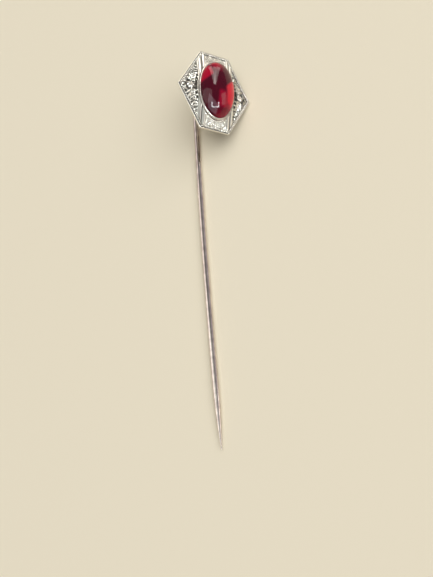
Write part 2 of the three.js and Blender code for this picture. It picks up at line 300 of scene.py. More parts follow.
ROSETTE = (4.55, 0.0)
ROSETTE_RADIUS = 0.66
PETALS = 6
PETAL_HEIGHT = 0.22
PETAL_CREASE = 0.07
HEART_RADIUS = 0.17
HEART_HEIGHT = 0.33
HEART_GROOVE = 0.1


def rosette(x, y):
    """The wing's flower: creased petals round a raised heart in a groove."""
    dx, dy = x - ROSETTE[0], y - ROSETTE[1]
    r = np.hypot(dx, dy) / ROSETTE_RADIUS
    turn = np.arctan2(dy, dx)
    lobe = np.abs(np.cos(turn * PETALS / 2))
    reach = 0.5 + 0.5 * lobe ** 0.5
    petal = PETAL_HEIGHT * np.sqrt(np.clip(1 - (r / reach) ** 2, 0, 1)) * (0.45 + 0.55 * lobe)
    crease = PETAL_CREASE * np.exp(-(((1 - lobe) / 0.012) ** 2)) * (r < reach)
    groove = HEART_GROOVE * np.exp(-(((r * ROSETTE_RADIUS - HEART_RADIUS - 0.03) / 0.03) ** 2))
    heart = boss(x, y, ROSETTE, HEART_RADIUS, HEART_HEIGHT)
    return np.maximum(petal - crease - groove, heart)


# one quarter of the ornament, which the other three mirror
# leaves and scrolls: the midrib's control points, width, height
WING_STEM = ((4.42, 0.66), (4.15, 1.6), (3.85, 2.5), (3.36, 4.1))
LEAF_PAIRS = 8
LEAF_SPREAD = math.radians(76)
LEAF_BEND = math.radians(34)
CORNER_LEAVES = [
    (((5.16, 0.5), (5.42, 0.42), (5.6, 0.42), (5.82, 0.5)), 0.22, 0.2),
    (((5.1, 0.8), (5.3, 0.72), (5.46, 0.74), (5.62, 0.86)), 0.2, 0.18),
    (((5.5, 0.0), (5.75, 0.0), (6.05, 0.0)), 0.24, 0.2),
    (((3.3, 4.1), (3.27, 4.3), (3.24, 4.5), (3.22, 4.72)), 0.2, 0.18),
]


def wing_room(x, y):
    """Clear width of the wing on the stone's side of a point and on the edge's side."""
    oval_edge = HOLE_A * math.sqrt(1 - (y / HOLE_B) ** 2)
    inner = max(oval_edge, BAND_CENTRE + BAND_WIDTH / 2)
    outer = (SIDE_DISTANCE - FIELD_EDGE - NORMAL_Y * y) / NORMAL_X
    return x - inner, outer - x


def wing_leaves():
    """Leaves springing in pairs from both sides of the wing's stem, each as long as there is room."""
    leaves = list(CORNER_LEAVES)
    stem_line = curve_points(WING_STEM, LEAF_PAIRS * 2)
    for i in range(LEAF_PAIRS):
        t = (i + 0.5) / LEAF_PAIRS
        (ax, ay), (bx, by) = stem_line[2 * i], stem_line[2 * i + 2]
        way = math.atan2(by - ay, bx - ax)
        base = Vector(stem_line[2 * i + 1])
        for side, room in zip((1, -1), wing_room(*base)):
            length = 0.98 * room
            swing = way + side * LEAF_SPREAD
            near = base + 0.45 * length * Vector((math.cos(swing), math.sin(swing)))
            bent = swing - side * LEAF_BEND * (0.6 + 0.8 * (i % 2))
            tip = near + 0.6 * length * Vector((math.cos(bent), math.sin(bent)))
            leaves.append(((base, near, tip), 0.34 - 0.1 * t, 0.25 - 0.06 * t))
    return leaves


PANEL_LEAVES = [
    (((0.0, 5.46), (0.0, 5.8), (0.0, 6.28)), 0.36, 0.26),
    (((0.26, 5.48), (0.56, 5.66), (0.2, 5.98), (0.52, 6.26)), 0.26, 0.24),
    (((1.78, 4.66), (1.45, 4.9), (1.42, 5.2), (1.62, 5.5)), 0.32, 0.24),
    (((1.5, 4.9), (1.2, 5.1), (1.1, 5.2), (0.86, 5.3)), 0.26, 0.22),
    (((1.86, 5.46), (1.7, 5.75), (1.66, 6.0), (1.78, 6.26)), 0.26, 0.2),
    (((1.98, 4.5), (1.96, 4.8), (1.9, 5.0), (1.94, 5.3)), 0.16, 0.16),
]
PANEL_SCROLLS = [
    (((0.72, 6.2), (0.9, 6.5), (1.75, 6.3), (1.4, 5.5), (0.92, 5.5), (0.98, 5.88)), 0.19, 0.24),
]
# bosses: centre, radius, height
BOSSES = [
    ((3.98, 0.34), 0.12, 0.2),
    ((3.9, 0.75), 0.1, 0.18),
    ((4.72, 1.36), 0.08, 0.16),
    ((4.36, 1.98), 0.08, 0.14),
    ((4.04, 2.58), 0.07, 0.14),
    ((3.34, 2.02), 0.06, 0.12),
    ((5.0, 0.98), 0.06, 0.14),
    ((0.24, 6.0), 0.06, 0.12),
    ((1.14, 5.82), 0.11, 0.2),
    ((1.2, 4.98), 0.07, 0.14),
]
# pierced openings: centre, length, width, lean in radians
OPENINGS = [
    ((3.7, 0.0), 0.42, 0.28, math.pi / 2),
    ((5.3, 0.0), 0.36, 0.28, 0.0),
    ((3.68, 0.68), 0.42, 0.26, 1.7),
    ((3.6, 1.36), 0.42, 0.26, 1.8),
    ((3.46, 2.02), 0.4, 0.24, 1.9),
    ((4.95, 0.62), 0.38, 0.24, 2.5),
    ((4.02, 0.5), 0.3, 0.2, 2.2),
    ((4.2, 2.42), 0.3, 0.2, 2.3),
]
GROUND_DEPTH = 0.07
STIPPLE_PITCH = 0.17
STIPPLE_HEIGHT = 0.045


def opening_reach(x, y, opening):
    """Below 1 inside the opening, in the quarter that holds it."""
    (cx, cy), length, width, lean = opening
    dx, dy = x - cx, y - cy
    u = dx * math.cos(lean) + dy * math.sin(lean)
    v = dy * math.cos(lean) - dx * math.sin(lean)
    return np.hypot(u / (length / 2), v / (width / 2))


def relief(x, y):
    """Height of the ornament above its sunk ground."""
    wander_x = 0.02 * np.sin(2.3 * y + 0.7) + 0.015 * np.sin(1.7 * x + 3.1 * y)
    wander_y = 0.02 * np.sin(2.1 * x + 1.9) + 0.015 * np.sin(2.9 * x - 1.3 * y)
    u, v = np.abs(x + wander_x), np.abs(y + wander_y)
    height = rosette(u, v)
    for control, width, rise in wing_leaves() + PANEL_LEAVES:
        height = np.maximum(height, leaf(u, v, control, width, rise))
    for control, width, rise in PANEL_SCROLLS:
        height = np.maximum(height, scroll(u, v, control, width, rise))
    height = np.maximum(height, scroll(u, v, WING_STEM, 0.12, 0.2))
    for centre, radius, rise in BOSSES:
        height = np.maximum(height, boss(u, v, centre, radius, rise))
    return height


def ground_cover(x, y):
    """1 on the sunk ground, falling to 0 at the field's plain borders."""
    inset = np.clip((hex_inset(x, y) - FIELD_EDGE - 0.05) / 0.06, 0, 1)
    round_stone = np.clip((np.hypot(x / HOLE_A, y / HOLE_B) - 1.018) / 0.012, 0, 1)
    band = np.clip((np.abs(np.abs(x) - BAND_CENTRE) - BAND_WIDTH / 2 - 0.04) / 0.05, 0, 1)
    return inset * round_stone * band


def stipple(x, y):
    """Small round punch marks that texture the ground between the leaves."""
    turned_x = (x + 0.5 * y) * math.pi / STIPPLE_PITCH
    turned_y = (y - 0.5 * x) * math.pi / STIPPLE_PITCH
    return STIPPLE_HEIGHT * np.clip(np.sin(turned_x) * np.sin(turned_y), 0, 1)


def struck_height(x, y):
    """The upper face of the field, with a slight dip round each opening."""
    cover = ground_cover(x, y)
    raised = np.maximum(relief(x, y), stipple(x, y))
    height = field_height(x, y) + cover * (raised - GROUND_DEPTH)
    for opening in OPENINGS:
        reach = opening_reach(np.abs(x), np.abs(y), opening)
        height = height - 0.04 * np.clip(1 - (reach - 1) / 0.35, 0, 1)
    return height


def underside_height(x, y):
    """The lower face: level at the border, then hollow."""
    t = np.clip((hex_inset(x, y) - FIELD_EDGE - HOLLOW_MARGIN) / 0.15, 0, 1)
    return -PLATE_EDGE * (1 - t) + (field_height(x, y) - PLATE_THICKNESS) * t


def opening_rings():
    """The outline of every opening, with its mirror images."""
    rings = []
    for (cx, cy), length, width, lean in OPENINGS:
        ring = []
        for k in range(OPENING_STEPS):
            t = k / OPENING_STEPS * math.tau
            u, v = length / 2 * math.cos(t), width / 2 * math.sin(t)
            x = cx + u * math.cos(lean) - v * math.sin(lean)
            y = cy + u * math.sin(lean) + v * math.cos(lean)
            ring.append((x, y))
        for side in (-1, 1):
            for up in (-1, 1) if cy else (1,):
                rings.append([(side * x, up * y) for x, y in ring])
    return rings


def field_grid():
    """Staggered points all over the field, clear of its edges and openings."""
    across = np.arange(-HEAD_WIDTH / 2, HEAD_WIDTH / 2, FIELD_STEP)
    upward = np.arange(-HEAD_HEIGHT / 2, HEAD_HEIGHT / 2, FIELD_STEP * 0.866)
    x, y = np.meshgrid(across, upward)
    x = x + (np.arange(len(upward)) % 2)[:, None] * FIELD_STEP / 2
    x, y = x.ravel(), y.ravel()
    clear = FIELD_STEP * 0.6
    keep = hex_inset(x, y) > FIELD_EDGE + clear
    keep &= np.hypot(x / (HOLE_A + clear), y / (HOLE_B + clear)) > 1
    for centre, length, width, lean in OPENINGS:
        grown = (centre, length + 2 * clear, width + 2 * clear, lean)
        keep &= opening_reach(np.abs(x), np.abs(y), grown) > 1
    return list(zip(x[keep].tolist(), y[keep].tolist()))


def field_triangles():
    """The field's outline, openings and inner points, cut into triangles seen from above."""
    outer = [p[:2] for p in hex_ring(FIELD_EDGE, 0)]
    inner = [p[:2] for p in oval(BEZEL_WALL + MOAT, 0)]
    loops = [outer, inner] + opening_rings()
    points, edges = [], []
    for loop in loops:
        start = len(points)
        points += loop
        edges += [(start + i, start + (i + 1) % len(loop)) for i in range(len(loop))]
    points += field_grid()
    made = delaunay_2d_cdt([Vector(p) for p in points], edges, [], 0, 1e-7)
    flat = np.array([(p.x, p.y) for p in made[0]])
    triangles = np.array([f for f in made[2] if len(f) == 3])
    middle = flat[triangles].mean(axis=1)
    mx, my = middle[:, 0], middle[:, 1]
    inside = hex_inset(mx, my) > FIELD_EDGE - 1e-4
    inside &= np.hypot(mx / HOLE_A, my / HOLE_B) > 0.9999
    for opening in OPENINGS:
        inside &= opening_reach(np.abs(mx), np.abs(my), opening) > 0.97
    return flat, triangles[inside]


# distance in from the head's edge, height
RIM_PROFILE = [
    (FIELD_EDGE, FIELD_START),
    (FIELD_EDGE - 0.02, FIELD_START - 0.03),
    (FIELD_EDGE - 0.03, -CHANNEL_DEPTH),
    (RIM_LIP + 0.03, -CHANNEL_DEPTH),
    (RIM_LIP, -0.07),
    (RIM_LIP - 0.03, -0.01),
    (RIM_LIP - 0.06, 0.0),
    (0.05, 0.0),
    (0.015, -0.015),
    (0.0, -0.05),
    (0.0, -PLATE_EDGE + 0.05),
    (0.015, -PLATE_EDGE + 0.015),
    (0.05, -PLATE_EDGE),
    (FIELD_EDGE, -PLATE_EDGE),
]


def border_edges(triangles):
    """The edges that only one triangle has."""
    seen = {}
    for a, b, c in triangles:
        for edge in ((a, b), (b, c), (c, a)):
            key = tuple(sorted(edge))
            seen[key] = None if key in seen else edge
    return [edge for edge in seen.values() if edge is not None]


def front_plate(material):
    """The struck field, with walls through its openings, and the rim and channel round it."""
    flat, triangles = field_triangles()
    x, y = flat[:, 0], flat[:, 1]
    top = np.column_stack([x, y, struck_height(x, y)])
    under = np.column_stack([x, y, underside_height(x, y)])
    count = len(flat)
    faces = [tuple(t) for t in triangles.tolist()]
    faces += [(c + count, b + count, a + count) for a, b, c in triangles.tolist()]
    for a, b in border_edges(triangles.tolist()):
        if hex_inset(x[a], y[a]) > FIELD_EDGE + 1e-4:
            faces.append((b, a, a + count, b + count))
    rim_points, rim_faces = loft([hex_ring(inset, z) for inset, z in RIM_PROFILE])
    offset = 2 * count
    faces += [tuple(i + offset for i in f) for f in rim_faces]
    points = np.vstack([top, under, np.array(rim_points)])
    name = "struck_front_plate"
    mark_depth(make_piece(name, points, faces, HEAD, ["front_plate"], material, 55))


def mark(piece, name, values):
    """Stores one value for each point, which the piece's material reads."""
    layer = piece.data.attributes.new(name, "FLOAT", "POINT")
    layer.data.foreach_set("value", np.asarray(values, np.float32))


def head_points(piece):
    """The piece's points in the head's frame, in millimetres, one row for each axis."""
    back = HEAD.inverted()
    return np.array([back @ v.co for v in piece.data.vertices]).T / MM


PANEL_WEAR_AND_SHEEN = 0.5   # the panels above and below the stone get half the wings' tarnish: partly rubbed wear, partly a painted sheen for the light they catch


def mark_depth(piece):
    """Stores how deep in the ornament each point lies, which tarnish follows."""
    x, y, z = head_points(piece)
    inset = hex_inset(x, y)
    risen = np.clip(np.maximum(relief(x, y) / 0.12, stipple(x, y) / 0.13), 0, 1)
    # the panels' lower tarnish is partly wear and partly a painted sheen, lighter where they catch the
    # light
    wear_and_sheen = np.where(np.abs(x) < BAND_CENTRE, PANEL_WEAR_AND_SHEEN, 1.0)
    deep = wear_and_sheen * ground_cover(x, y) * (1 - risen)
    in_channel = (inset > RIM_LIP - 0.04) & (inset < FIELD_EDGE)
    deep = np.maximum(deep, np.clip(-z / CHANNEL_DEPTH, 0, 1) * in_channel)
    for opening in OPENINGS:
        deep = np.maximum(deep, opening_reach(np.abs(x), np.abs(y), opening) < 1.25)
    beneath = (inset > FIELD_EDGE) & (z < underside_height(x, y) + 0.05)
    mark(piece, "depth", np.where(beneath, 0.4, deep))


# ---- beads ----
def bead_places():
    """Where each bead sits, with the direction of the side it belongs to."""
    places = []
    corners = hexagon(RIM_LIP + CHANNEL_WIDTH / 2)
    for i, corner in enumerate(corners):
        after = corners[(i + 1) % 6]
        count = round((after - corner).length / BEAD_PITCH)
        for k in range(count):
            places.append((corner.lerp(after, k / count), after - corner))
    return places


def milgrain(material):
    """Slightly uneven beads, and the thin wire that joins them."""
    ball = bmesh.new()
    bmesh.ops.create_icosphere(ball, subdivisions=3, radius=1)
    shape = np.array([v.co for v in ball.verts])
    shape_faces = [tuple(v.index for v in f.verts) for f in ball.faces]
    ball.free()
    points, faces = [], []
    centre_height = BEAD_RADIUS - CHANNEL_DEPTH + GAP
    for i, (place, way) in enumerate(bead_places()):
        turn = math.atan2(way.y, way.x)
        long = BEAD_RADIUS * (1.0 + 0.06 * math.sin(i * 2.4))
        wide = BEAD_RADIUS * (0.96 + 0.05 * math.sin(i * 1.7 + 1))
        u, v, w = shape[:, 0] * long, shape[:, 1] * wide, shape[:, 2] * BEAD_RADIUS
        x = place.x + u * math.cos(turn) - v * math.sin(turn)
        y = place.y + u * math.sin(turn) + v * math.cos(turn)
        start = i * len(shape)
        points.append(np.column_stack([x, y, w + centre_height]))
        faces += [tuple(k + start for k in f) for f in shape_faces]
    middle = RIM_LIP + CHANNEL_WIDTH / 2
    rings = []
    for k in range(BEAD_WIRE_SIDES):
        t = k / BEAD_WIRE_SIDES * math.tau
        rings.append(hex_ring(middle + BEAD_NECK * math.cos(t), centre_height + BEAD_NECK * math.sin(t)))
    wire_points, wire_faces = loft(rings, closed=True)
    start = len(points) * len(shape)
    faces += [tuple(k + start for k in f) for f in wire_faces]
    points = np.vstack(points + [np.array(wire_points)])
    piece = make_piece("milgrain_beads", points, faces, HEAD, ["milgrain_border"], material)
    height = head_points(piece)[2] - centre_height
    mark(piece, "depth", np.clip((0.75 * BEAD_RADIUS - height) / (0.6 * BEAD_RADIUS), 0, 1))


# ---- reeded bands ----
def band_crown(across):
    """1 on top of a rib, 0 in the grooves."""
    rib = np.minimum(np.abs(across - RIB_PITCH / 2), np.abs(across + RIB_PITCH / 2)) / (RIB_WIDTH / 2)
    return np.sqrt(np.clip(1 - rib ** 2, 0, 1))


def band(side, up, name, material):
    """A ribbed strip from the setting to the rim, in one quarter of the head."""
    grow = BEZEL_WALL + MOAT + 0.01
    rows = []
    for i in range(BAND_COLUMNS + 1):
        across = (i / BAND_COLUMNS - 0.5) * BAND_WIDTH
        x = BAND_CENTRE + across
        low = (STONE_B + grow) * math.sqrt(max(0, 1 - (x / (STONE_A + grow)) ** 2))
        inset = FIELD_EDGE + 0.04
        high = min(HEAD_HEIGHT / 2 - inset, (SIDE_DISTANCE - inset - NORMAL_X * x) / NORMAL_Y)
        rows.append([(x, low + (high - low) * k / BAND_ROWS, across) for k in range(BAND_ROWS + 1)])
    grid = np.array(rows)
    x, y, across = grid[:, :, 0], grid[:, :, 1], grid[:, :, 2]
    t = np.linspace(0, 1, BAND_ROWS + 1)[None, :]
    ends = np.sqrt(np.clip(np.minimum(t, 1 - t) / 0.02, 0, 1))
    crown = band_crown(across)
    rise = BAND_BASE + (RIB_HEIGHT - BAND_BASE) * crown
    base = field_height(x, y) + GAP
    top = base + (rise - GAP) * (0.5 + 0.5 * ends)
    upper = np.stack([side * x, up * y, top], axis=2).reshape(-1, 3)
    lower = np.stack([side * x, up * y, base], axis=2).reshape(-1, 3)
    width = BAND_ROWS + 1
    count = len(upper)
    faces = []
    for i in range(BAND_COLUMNS):
        for k in range(BAND_ROWS):
            a = i * width + k
            quad = (a, a + width, a + width + 1, a + 1)
            faces.append(quad)
            faces.append(tuple(n + count for n in reversed(quad)))
    border = list(range(width))
    border += [i * width + BAND_ROWS for i in range(1, BAND_COLUMNS + 1)]
    border += [BAND_COLUMNS * width + k for k in range(BAND_ROWS - 1, -1, -1)]
    border += [i * width for i in range(BAND_COLUMNS - 1, 0, -1)]
    for a, b in zip(border, border[1:] + border[:1]):
        faces.append((a, b, b + count, a + count))
    points = np.vstack([upper, lower])
    piece = make_piece("reeded_" + name, points, faces, HEAD, [name], material, 50)
    across = np.abs(head_points(piece)[0]) - BAND_CENTRE
    mark(piece, "depth", np.clip(1 - 1.6 * band_crown(across), 0, 1))


# ---- setting and stone ----
# how far outside the stone's outline, height
BEZEL_PROFILE = [
    (BEZEL_WALL + MOAT - GAP, BACK_TOP + GAP),
    (BEZEL_WALL + MOAT - GAP, BEZEL_STEP_TOP - 0.05),
    (BEZEL_WALL + MOAT - 0.05, BEZEL_STEP_TOP),
    (BEZEL_WALL + 0.03, BEZEL_STEP_TOP + 0.01),
    (BEZEL_WALL, BEZEL_STEP_TOP + 0.05),
    (BEZEL_WALL, BEZEL_TOP - 0.2),
    (BEZEL_WALL - 0.02, BEZEL_TOP - 0.1),
    (BEZEL_WALL - 0.07, BEZEL_TOP - 0.03),
    (BEZEL_WALL - 0.14, BEZEL_TOP),
    (BEZEL_WALL - 0.2, BEZEL_TOP - 0.01),
    (0.022, BEZEL_TOP - 0.05),
    (0.018, BEZEL_TOP - 0.14),
    (0.018, BACK_TOP + GAP),
]
BEZEL_WAVE = 0.006


def bezel(material):
    """The collar, with the faint waves that the burnisher leaves along its upper edge."""
    rings = []
    for grow, height in BEZEL_PROFILE:
        ring = []
        for i, (x, y, z) in enumerate(oval(grow, height)):
            t = i / OVAL_STEPS * math.tau
            lip = max(0.0, height - BEZEL_STEP_TOP) / (BEZEL_TOP - BEZEL_STEP_TOP)
            push = BEZEL_WAVE * lip * (math.sin(23 * t) + 0.6 * math.sin(37 * t + 1.3))
            ring.append((x * (1 + push / STONE_A), y * (1 + push / STONE_B), z + 0.5 * push))
        rings.append(ring)
    points, faces = loft(rings, closed=True)
    piece = make_piece("burnished_bezel", points, faces, HEAD, ["bezel"], material, 35)
    x, y, z = head_points(piece)
    outside = np.hypot(x / (STONE_A + BEZEL_WALL / 2), y / (STONE_B + BEZEL_WALL / 2)) > 1
    mark(piece, "depth", np.where(outside, np.clip((BEZEL_TOP - 0.2 - z) / 0.15, 0, 1), 0.45))


def stone_seat(material):
    """The ring inside the bezel that the stone stands on."""
    top = STONE_BASE - GAP
    profile = [
        (0.0, top - 0.03),
        (-0.03, top),
        (-SEAT_WIDTH + 0.08, top),
        (-SEAT_WIDTH, top - 0.08),
        (-SEAT_WIDTH, top - SEAT_DEPTH),
        (0.0, top - SEAT_DEPTH),
    ]
    points, faces = loft([oval(grow, height) for grow, height in profile], closed=True)
    make_piece("seat_ring", points, faces, HEAD, ["stone_seat"], material)


def cabochon(material):
    """The stone: flat below, a short upright girdle and a dome."""
    girdle = STONE_BASE + STONE_GIRDLE
    profile = [
        (0.5, STONE_BASE),
        (0.97, STONE_BASE),
        (0.99, STONE_BASE + 0.02),
        (0.998, STONE_BASE + 0.07),
    ]
    for i in range(DOME_RINGS):
        t = i / DOME_RINGS * math.pi / 2
        profile.append((math.cos(t), girdle + STONE_DOME * math.sin(t)))
    rings = [[(x * share, y * share, z) for x, y, z in oval(0, height)] for share, height in profile]
    points, faces = loft(rings)
    last = len(points) - OVAL_STEPS
    bottom = len(points)
    top = bottom + 1
    points += [(0, 0, STONE_BASE), (0, 0, girdle + STONE_DOME)]
    for k in range(OVAL_STEPS):
        n = (k + 1) % OVAL_STEPS
        faces.append((n, k, bottom))
        faces.append((last + k, last + n, top))
    piece = make_piece("red_cabochon", points, faces, HEAD, ["cabochon"], material, 50)
    # light gathering inside the stone, painted into its colour as a glow by where each point lies
    mark(piece, "painted_glow", painted_stone_glow(*head_points(piece)[:2]))
    return piece


def smooth_step(value, low, high):
    """0 below low, 1 above high and a smooth rise between them."""
    t = np.clip((value - low) / (high - low), 0, 1)
    return t * t * (3 - 2 * t)


def painted_stone_glow(x, y):
    """Painted glow: where light gathers inside the stone, painted into its colour by where each point lies:
    its right flank, upper left shoulder, crown and rim.
    """
    slanted_top = smooth_step(x - y, 0.4, 1.0)
    flank = smooth_step(x + 0.12 * y, 0.15, 1.0) * slanted_top * smooth_step(y, -3.7, -2.5)
    beside = 0.4 * smooth_step(x, -0.9, -0.4) * smooth_step(-y, 0.7, 1.6) * smooth_step(y, -4.2, -3.2)
    left_side = smooth_step(-x - 0.1 * y, 1.2, 1.6)
    shoulder = 0.65 * left_side * smooth_step(y - 0.88 * x, 2.8, 3.4) * smooth_step(-y, -4.2, -3.2)
    crown = 0.6 * np.exp(-(((x + 0.8) / 0.9) ** 2) - ((y - 4.0) / 1.2) ** 2)
    outwards = np.hypot(x / STONE_A, y / STONE_B)
    rim = 0.32 * smooth_step(outwards, 0.7, 1.0) * smooth_step(x, -1.5, 0.5)
    return np.maximum.reduce([flank, beside, shoulder, crown, rim])


# ---- back of the head ----
def back_disc(material):
    """The oval plate that closes the setting from behind, with rounded edges."""
    reach = BEZEL_WALL + BACK_GROW
    face = BACK_TOP - BACK_THICKNESS
    profile = [
        (-STONE_A * 0.98, BACK_TOP),
        (reach - 0.1, BACK_TOP),
        (reach - 0.03, BACK_TOP - 0.03),
        (reach, BACK_TOP - 0.1),
        (reach, face + 0.14),
        (reach - 0.03, face + 0.06),
        (reach - 0.1, face + 0.02),
        (reach - 0.22, face),
        (-STONE_A * 0.98, face),
    ]
    points, faces = loft([oval(grow, height) for grow, height in profile], caps=True)
    make_piece("oval_back_disc", points, faces, HEAD, ["back_disc"], material, 35)


def circle(radius, height):
    """A round ring about the head's centre, at one height."""
    ring = []
    for i in range(SOCKET_SIDES):
        t = i / SOCKET_SIDES * math.tau
        ring.append((radius * math.cos(t), radius * math.sin(t), height))
    return ring


def stem_socket(material):
    """A small cup of solder that flares from the stem to the back disc."""
    top = BACK_TOP - BACK_THICKNESS - GAP
    bottom = top - SOCKET_HEIGHT
    bore = STEM_RADIUS + GAP
    neck = bore + 0.15
    profile = [
        (bore, top),
        (bore, bottom + 0.03),
        (bore + 0.03, bottom),
        (bore + 0.1, bottom),
        (bore + 0.14, bottom + 0.04),
    ]
    for i in range(SOCKET_CURVE_STEPS + 1):
        t = i / SOCKET_CURVE_STEPS * math.pi / 2
        radius = neck + (SOCKET_RADIUS - neck) * (1 - math.cos(t))
        profile.append((radius, bottom + 0.1 + (SOCKET_HEIGHT - 0.16) * math.sin(t) ** 0.9))
    profile.append((SOCKET_RADIUS, top))
    points, faces = loft([circle(radius, height) for radius, height in profile], closed=True)
    make_piece("solder_socket", points, faces, HEAD, ["stem_socket"], material, 45)


# ---- stem: a straight run from the point, a bend, and a short leg up to the head ----
TURN = math.pi / 2 + PITCH
POINT_Y = HEAD_HEIGHT / 2 * math.cos(PITCH) - OVERALL_LENGTH
ELBOW_Y = STANDOFF * math.tan(PITCH)
STRAIGHT_END = ELBOW_Y - BEND_RADIUS * math.tan(TURN / 2)
STRAIGHT_LENGTH = STRAIGHT_END - POINT_Y
BEND_LENGTH = BEND_RADIUS * TURN
HEAD_NORMAL = Vector((0, -math.sin(PITCH), math.cos(PITCH)))


def on_stem(across, along, out):
    """A point of the wire from its distance along the stem and its offset across it."""
    if along <= STRAIGHT_LENGTH:
        t = along / STRAIGHT_LENGTH
        bow = -4 * STEM_BOW * t * (1 - t)
        x = across + bow * math.cos(REST_ROLL)
        z = out + bow * math.sin(REST_ROLL)
        return Vector((x, POINT_Y + along, z))
    a = min((along - STRAIGHT_LENGTH) / BEND_RADIUS, TURN)
    beyond = max(0.0, along - STRAIGHT_LENGTH - BEND_LENGTH)
    y = STRAIGHT_END + (BEND_RADIUS - out) * math.sin(a)
    z = BEND_RADIUS - (BEND_RADIUS - out) * math.cos(a)
    return Vector((across, y, z)) + HEAD_NORMAL * beyond


def stem(material):
    """The round wire from its ground point to the top of its leg inside the socket."""
    socket_top = BACK_TOP - BACK_THICKNESS - GAP
    leg_top = Vector((0, 0, STANDOFF)) + HEAD_NORMAL * socket_top
    bend_top = Vector((0, STRAIGHT_END + BEND_RADIUS * math.sin(TURN), BEND_RADIUS * (1 - math.cos(TURN))))
    length = STRAIGHT_LENGTH + BEND_LENGTH + (leg_top - bend_top).length
    profile = [(0.02, 0.0), (0.042, 0.03), (TIP_RADIUS, TIP_ROUNDING)]
    for i in range(1, TAPER_STEPS + 1):
        t = i / TAPER_STEPS
        radius = TIP_RADIUS + (STEM_RADIUS - TIP_RADIUS) * math.sin(t * math.pi / 2)
        profile.append((radius, TIP_ROUNDING + TIP_LENGTH * t))
    shank_start = TIP_ROUNDING + TIP_LENGTH
    for i in range(1, SHANK_STEPS + 1):
        profile.append((STEM_RADIUS, shank_start + (STRAIGHT_LENGTH - shank_start) * i / SHANK_STEPS))
    for i in range(1, BEND_STEPS + 1):
        profile.append((STEM_RADIUS, STRAIGHT_LENGTH + BEND_LENGTH * i / BEND_STEPS))
    profile.append((STEM_RADIUS, length))
    rings = []
    for radius, along in profile:
        ring = []
        for k in range(STEM_SIDES):
            t = k / STEM_SIDES * math.tau
            ring.append(tuple(on_stem(radius * math.cos(t), along, radius * math.sin(t))))
        rings.append(ring)
    points, faces = loft(rings, caps=True)
    return make_piece("stem_wire", points, faces, PIN, ["stem"], material, 50)


# ---- materials ----
def new_material(name):
    """A material with its nodes and links, starting from one Principled shader."""
    material = bpy.data.materials.new(name)
    material.use_nodes = True
    return material, material.node_tree.nodes, material.node_tree.links


def add_noise(nodes, links, scale, detail, stretch=(1, 1, 1)):
    """Noise fixed to the piece; scale is in cells per metre."""
    place = nodes.new("ShaderNodeTexCoord")
    turn = nodes.new("ShaderNodeMapping")
    turn.inputs["Scale"].default_value = stretch
    noise = nodes.new("ShaderNodeTexNoise")
    noise.inputs["Scale"].default_value = scale
    noise.inputs["Detail"].default_value = detail
    links.new(place.outputs["Object"], turn.inputs["Vector"])
    links.new(turn.outputs["Vector"], noise.inputs["Vector"])
    return noise.outputs["Fac"]


def ramp(nodes, links, source, stops):
    """Colours by position along the source's 0 to 1."""
    node = nodes.new("ShaderNodeValToRGB")
    elements = node.color_ramp.elements
    while len(elements) < len(stops):
        elements.new(0.5)
    for element, (place, colour) in zip(elements, stops):
        element.position = place
        element.color = (*colour, 1)
    links.new(source, node.inputs["Fac"])
    return node.outputs["Color"]


def map_range(nodes, links, source, low, high, to_low, to_high):
    """The source's span from low to high, moved onto another span."""
    node = nodes.new("ShaderNodeMapRange")
    node.inputs["From Min"].default_value = low
    node.inputs["From Max"].default_value = high
    node.inputs["To Min"].default_value = to_low
    node.inputs["To Max"].default_value = to_high
    links.new(source, node.inputs["Value"])
    return node.outputs["Result"]


BUMP_STRENGTH = 0.5


def add_scaled(nodes, links, source, share, base):
    """A share of the source added to the base."""
    node = nodes.new("ShaderNodeMath")
    node.operation = "MULTIPLY_ADD"
    links.new(source, node.inputs[0])
    node.inputs[1].default_value = share
    links.new(base, node.inputs[2])
    return node.outputs[0]


def add_bump(nodes, links, source, depth, shader):
    """Bump of this depth in millimetres."""
    node = nodes.new("ShaderNodeBump")
    node.inputs["Strength"].default_value = BUMP_STRENGTH
    node.inputs["Distance"].default_value = depth * MM
    links.new(source, node.inputs["Height"])
    links.new(node.outputs["Normal"], shader.inputs["Normal"])


FINE_GRAIN = 0.004   # depth of a polished surface's grain, millimetres


def white_metal(name, bright, dull, rough, grain, stretch=(1, 1, 1)):
    """Polished white metal with cloudy wear in its colour and gloss and a fine grain."""
    material, nodes, links = new_material(name)
    shader = nodes["Principled BSDF"]
    shader.inputs["Metallic"].default_value = 1.0
    cloud = add_noise(nodes, links, 900, 5)
    fine = add_noise(nodes, links, grain, 3, stretch)
    links.new(ramp(nodes, links, cloud, [(0.35, dull), (0.62, bright)]), shader.inputs["Base Color"])
    links.new(map_range(nodes, links, fine, 0.3, 0.7, rough * 0.7, rough * 1.4), shader.inputs["Roughness"])
    add_bump(nodes, links, fine, FINE_GRAIN, shader)
    return material


def tarnished_metal(name, bright, wear_and_sheen, dark, rough, grain_scale, bump):
    """Bright on the raised ornament, dull and dark down in the recesses its depth layer marks."""
    material, nodes, links = new_material(name)
    shader = nodes["Principled BSDF"]
    shader.inputs["Metallic"].default_value = 1.0
    depth = nodes.new("ShaderNodeAttribute")
    depth.attribute_name = "depth"
    cloud = add_noise(nodes, links, 1400, 5)
    grain = add_noise(nodes, links, grain_scale, 4)
    clouded = add_scaled(nodes, links, cloud, 0.35, depth.outputs["Fac"])
    shifted = map_range(nodes, links, clouded, 0.1, 1.2, 0.0, 1.0)
    stops = [(0.1, bright), (0.5, wear_and_sheen), (0.8, dark)]
    links.new(ramp(nodes, links, shifted, stops), shader.inputs["Base Color"])
    links.new(map_range(nodes, links, shifted, 0.1, 0.9, rough, 0.5), shader.inputs["Roughness"])
    add_bump(nodes, links, grain, bump, shader)
    return material


# the stone's own dark red, and the middle and glowing reds of the glow painted into its colour
DARK_RED = (0.1, 0.0, 0.014)
MIDDLE_RED = (0.34, 0.0, 0.03)
PAINTED_GLOW_RED = (0.88, 0.0, 0.035)


